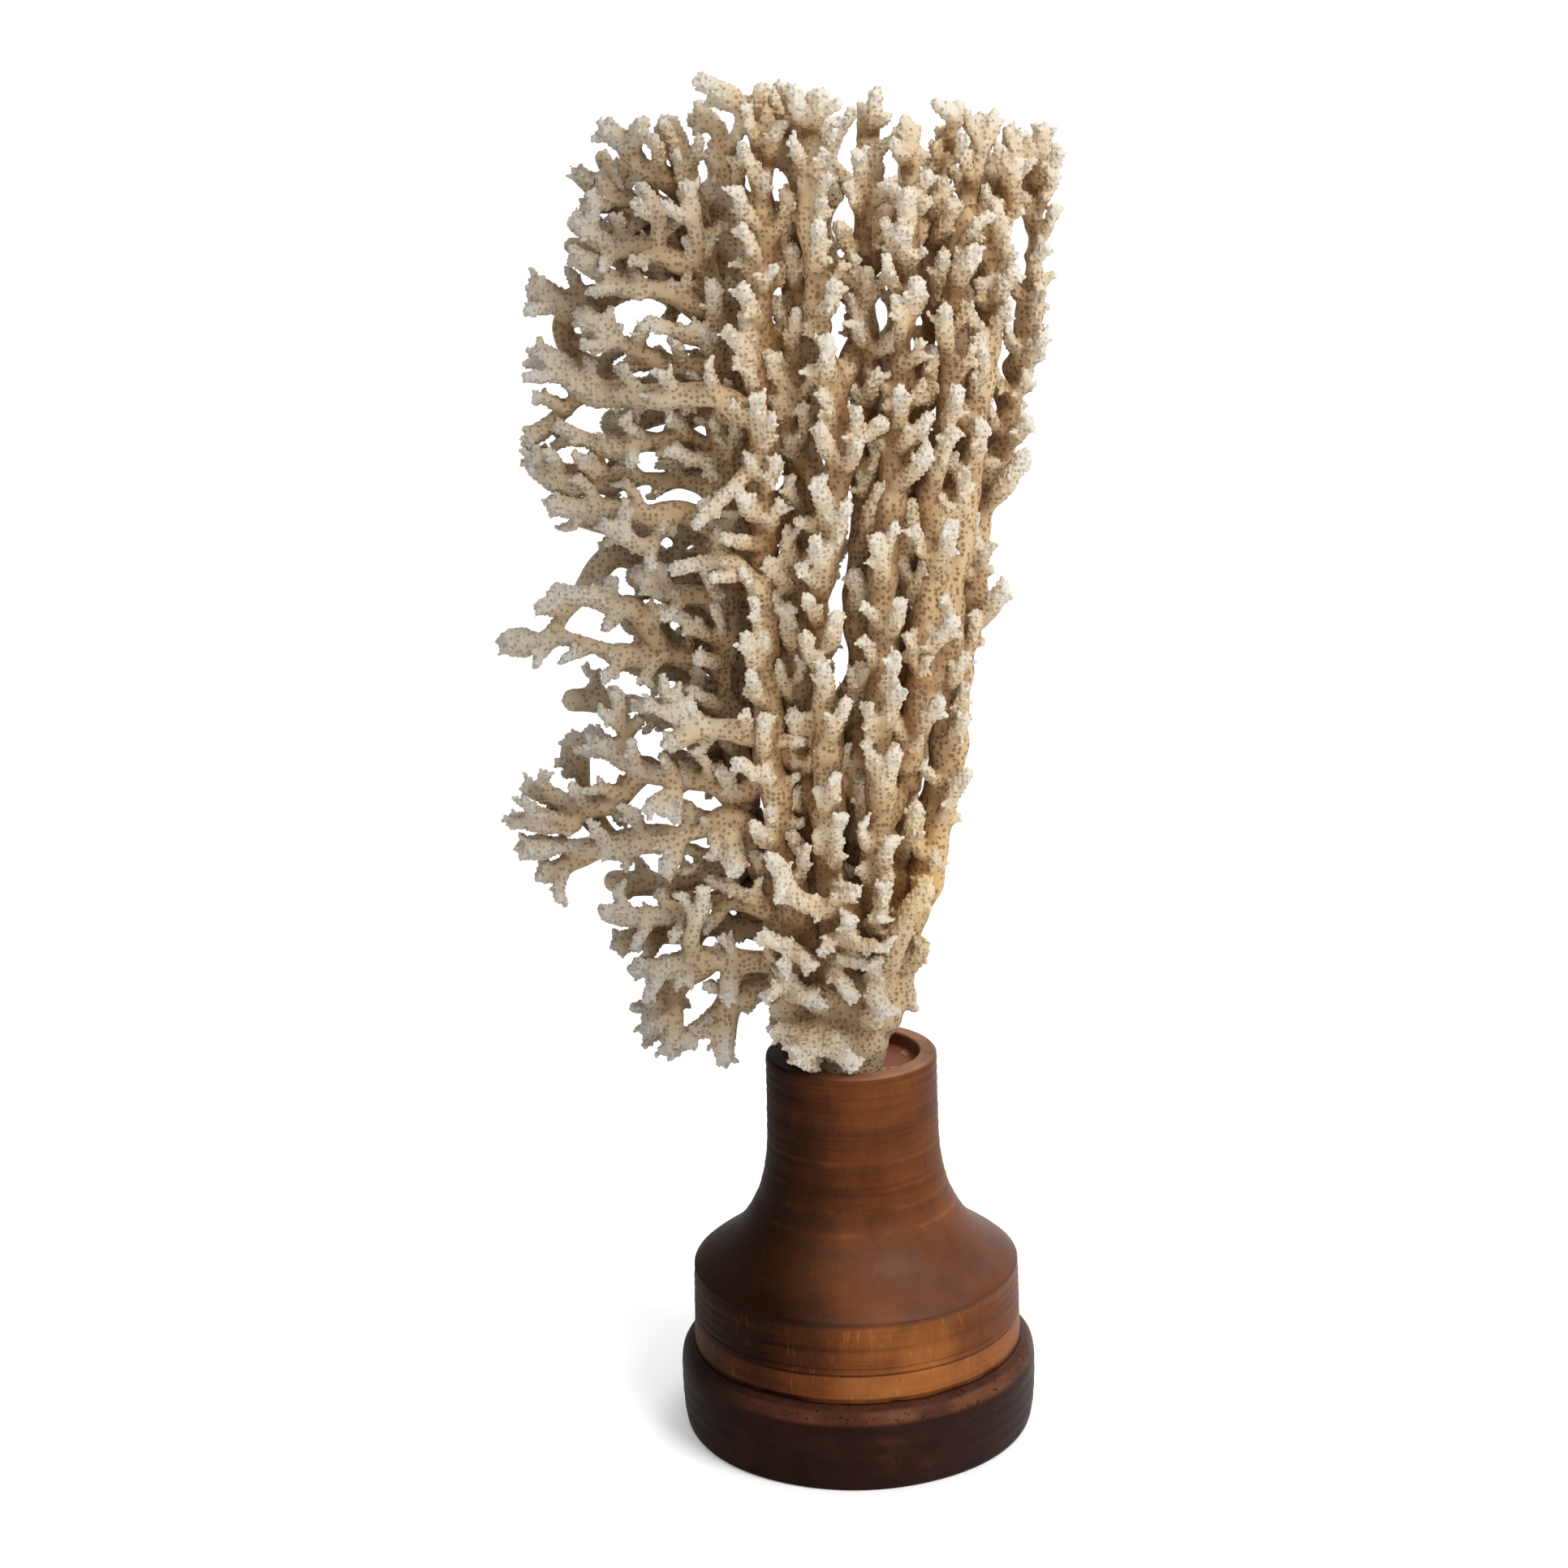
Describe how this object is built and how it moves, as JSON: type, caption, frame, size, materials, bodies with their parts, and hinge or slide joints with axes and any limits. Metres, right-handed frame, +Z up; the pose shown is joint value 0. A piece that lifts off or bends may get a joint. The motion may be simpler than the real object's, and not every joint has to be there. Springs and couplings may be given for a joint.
{
  "type": "branching coral on turned stand",
  "caption": "Dried branching coral, an upright fan of ribs with side arms and twigs, set in the recess of a turned wooden stand on a dark plinth.",
  "frame": {"origin": "centre of the stand's underside", "axes": "+Z up along the stand's axis, +X to the viewer's right, +Y away from the viewer"},
  "size_m": [0.1841, 0.121, 0.4507],
  "materials": {
    "coral": "dry, chalky and full of pores",
    "turned_wood": "waxed, turned, satin",
    "dark_wood": "dark stain, worn at the upper edge"
  },
  "bodies": {
    "root": {"arm_01_top": "coral", "arm_02": "coral", "arm_03": "coral", "arm_04": "coral", "arm_05": "coral", "arm_06": "coral", "arm_07": "coral", "arm_08": "coral", "arm_09": "coral", "arm_10": "coral", "arm_11": "coral", "arm_12": "coral", "arm_13_loop": "coral", "arm_14": "coral", "arm_15": "coral", "arm_16_big": "coral", "arm_17": "coral", "arm_18": "coral", "arm_19": "coral", "arm_20_low": "coral", "arm_back_1": "coral", "arm_back_2": "coral", "arm_back_3": "coral", "arm_back_4": "coral", "arm_back_5": "coral", "coral_foot": "coral", "rib_back_left": "coral", "rib_back_middle_left": "coral", "rib_back_middle_right": "coral", "rib_back_right": "coral", "rib_left_back": "coral", "rib_left_edge": "coral", "rib_left_front": "coral", "rib_middle": "coral", "rib_middle_front": "coral", "rib_middle_left": "coral", "rib_middle_right": "coral", "rib_right_edge": "coral", "rib_right_front": "coral", "rib_right_inner": "coral", "stand_bell": "turned_wood", "stand_plinth": "dark_wood"}
  },
  "joints": []
}
